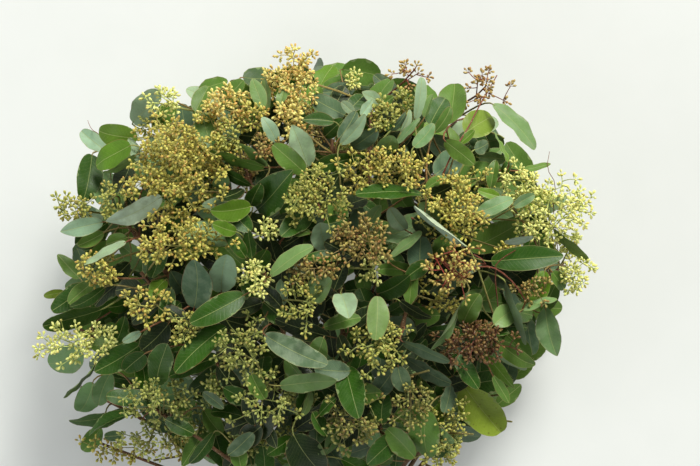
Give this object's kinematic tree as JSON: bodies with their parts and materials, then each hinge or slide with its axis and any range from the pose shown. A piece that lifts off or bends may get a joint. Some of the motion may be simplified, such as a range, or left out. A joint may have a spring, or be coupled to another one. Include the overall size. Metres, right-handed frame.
{
  "type": "eucalyptus gum nut bunch",
  "caption": "Cut bunch of seeded eucalyptus lying on its back: woody stems fan into a domed crown of sickle-shaped leaves and branched clusters of small gum nuts.",
  "frame": {"origin": "middle of the bounding box, on the surface the bunch lies on", "axes": "+Z up off the surface, towards the bunch's fullest side; +Y from the cut stem ends towards the top of the crown; +X to the right seen from above with +Y up"},
  "size_m": [0.5512, 0.6296, 0.2457],
  "materials": {
    "leaf_and_stem": "satin",
    "gum_nut": "satin"
  },
  "bodies": {
    "root": {"sprig_01_leafy_stem": "leaf_and_stem", "sprig_02_leafy_stem": "leaf_and_stem", "sprig_03_leafy_stem": "leaf_and_stem", "sprig_04_leafy_stem": "leaf_and_stem", "sprig_05_leafy_stem": "leaf_and_stem", "sprig_06_leafy_stem": "leaf_and_stem", "sprig_07_leafy_stem": "leaf_and_stem", "sprig_08_leafy_stem": "leaf_and_stem", "sprig_09_leafy_stem": "leaf_and_stem", "sprig_10_leafy_stem": "leaf_and_stem", "sprig_11_leafy_stem": "leaf_and_stem", "sprig_12_leafy_stem": "leaf_and_stem", "sprig_13_leafy_stem": "leaf_and_stem", "sprig_14_leafy_stem": "leaf_and_stem", "sprig_15_leafy_stem": "leaf_and_stem", "sprig_16_leafy_stem": "leaf_and_stem", "sprig_17_leafy_stem": "leaf_and_stem", "sprig_18_leafy_stem": "leaf_and_stem", "sprig_19_leafy_stem": "leaf_and_stem", "sprig_20_leafy_stem": "leaf_and_stem", "gumnut_panicle_01": "gum_nut", "gumnut_panicle_02": "gum_nut", "gumnut_panicle_03": "gum_nut", "gumnut_panicle_04": "gum_nut", "gumnut_panicle_05": "gum_nut", "gumnut_panicle_06": "gum_nut", "gumnut_panicle_07": "gum_nut", "gumnut_panicle_08": "gum_nut", "gumnut_panicle_09": "gum_nut", "gumnut_panicle_10": "gum_nut", "gumnut_panicle_11": "gum_nut", "gumnut_panicle_12": "gum_nut", "gumnut_panicle_13": "gum_nut", "gumnut_panicle_14": "gum_nut", "gumnut_panicle_15": "gum_nut", "gumnut_panicle_16": "gum_nut", "gumnut_panicle_17": "gum_nut", "gumnut_panicle_18": "gum_nut", "gumnut_panicle_19": "gum_nut", "gumnut_panicle_20": "gum_nut", "gumnut_panicle_21": "gum_nut", "gumnut_panicle_22": "gum_nut", "gumnut_panicle_23": "gum_nut", "gumnut_panicle_24": "gum_nut", "gumnut_panicle_25": "gum_nut", "gumnut_panicle_26": "gum_nut", "gumnut_panicle_27": "gum_nut", "gumnut_panicle_28": "gum_nut", "gumnut_panicle_29": "gum_nut", "gumnut_panicle_30": "gum_nut", "gumnut_panicle_31": "gum_nut", "gumnut_panicle_32": "gum_nut", "gumnut_panicle_33": "gum_nut", "gumnut_panicle_34": "gum_nut", "gumnut_panicle_35": "gum_nut", "gumnut_panicle_36": "gum_nut", "gumnut_panicle_37": "gum_nut", "gumnut_panicle_38": "gum_nut", "gumnut_panicle_39": "gum_nut", "gumnut_panicle_40": "gum_nut"}
  },
  "joints": []
}
